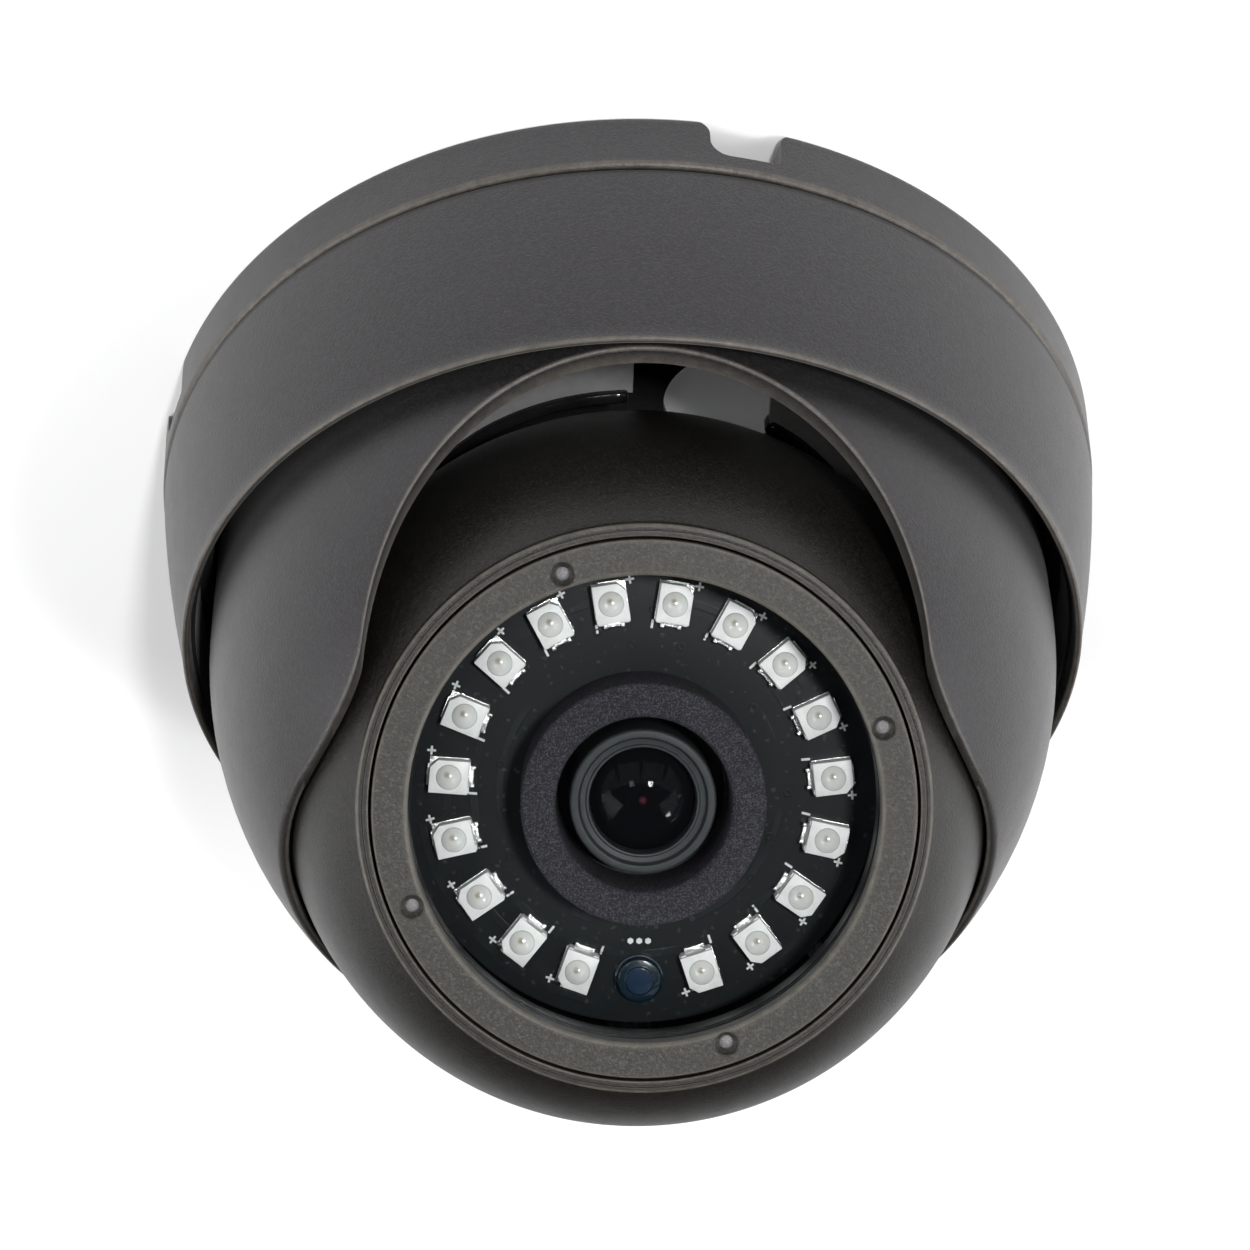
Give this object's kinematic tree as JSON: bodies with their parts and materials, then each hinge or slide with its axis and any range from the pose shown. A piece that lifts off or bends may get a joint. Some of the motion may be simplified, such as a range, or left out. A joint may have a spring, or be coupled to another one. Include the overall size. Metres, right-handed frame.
{
  "type": "dome security camera",
  "caption": "Ceiling or wall mounted infrared dome camera: a metal base, twist-on trim ring, turning slotted cover and a tilting ball with window, lamp board and lens.",
  "frame": {"origin": "centre of the base's flat mounting face", "axes": "+Z out of the mounting face through the dome; the lens leans towards -Y; +X completes the right-handed frame"},
  "size_m": [0.094, 0.094, 0.0717],
  "materials": {
    "painted_housing": "satin metallic dark grey, fine flake",
    "painted_bezel": "satin metallic dark warm grey, fine grain",
    "zinc_steel": "zinc plated",
    "yoke_steel": "rolled, dull",
    "black_rubber": "matte",
    "foam": "open-cell, grainy",
    "window_glass": "polished",
    "lens_glass": "coated, polished",
    "filter_glass": "polished",
    "black_board": "gloss solder mask",
    "green_board": "gloss solder mask",
    "lamp_white": "moulded, satin",
    "lamp_clear": "clear cast dome, pearly",
    "tinned": "tinned metal",
    "white_ink": "printed",
    "sensor_blue": "gloss, dark",
    "black_plastic": "moulded",
    "black_alloy": "black anodised, satin",
    "white_plastic": "moulded nylon",
    "chip_black": "moulded package"
  },
  "bodies": {
    "base": {"base_plate": "painted_housing", "screw_spacers": "zinc_steel", "bayonet_ring": "painted_housing", "pan_friction_ring": "black_rubber"},
    "ring": {"trim_ring": "painted_housing", "cover_seal": "black_rubber"},
    "cover": {"turning_cover": "painted_housing", "yoke": "yoke_steel", "yoke_screws": "zinc_steel", "cable_guard": "black_rubber"},
    "ball": {"ball_front": "painted_housing", "ball_gasket": "black_rubber", "ball_rear": "painted_housing", "ball_screws": "zinc_steel", "pivot_pins": "zinc_steel", "pivot_washers": "white_plastic", "bezel_ring": "painted_bezel", "window_seal": "black_rubber", "window_glass": "window_glass", "foam_shield": "foam", "lamp_board": "black_board", "lamp_bodies": "lamp_white", "lamp_domes": "lamp_clear", "lamp_leads": "tinned", "polarity_marks": "white_ink", "light_sensor": "sensor_blue", "board_spacers": "white_plastic", "main_board": "green_board", "board_screws": "zinc_steel", "image_sensor": "chip_black", "signal_chip": "chip_black", "cable_socket": "white_plastic", "lens_holder": "black_plastic", "ir_filter": "filter_glass", "cable_gland": "black_rubber"},
    "lens": {"lens_barrel": "black_alloy", "front_element": "lens_glass", "rear_element": "lens_glass"}
  },
  "joints": [
    {"name": "ring_twist", "type": "hinge", "parent": "base", "child": "ring", "pos_m": [0, 0, 0.016], "axis": [0, 0, 1], "range_deg": [0, 45]},
    {"name": "cover_pan", "type": "hinge", "parent": "base", "child": "cover", "pos_m": [0, 0, 0.014], "axis": [0, 0, 1], "range_deg": [-172, 172]},
    {"name": "ball_tilt", "type": "hinge", "parent": "cover", "child": "ball", "pos_m": [0, 0, 0.0378], "axis": [1, 0, 0], "range_deg": [-40.8, 15.2]},
    {"name": "lens_focus", "type": "hinge", "parent": "ball", "child": "lens", "pos_m": [0, 0, 0.0378], "axis": [0, -0.6534, 0.757], "range_deg": [-90, 90]}
  ]
}
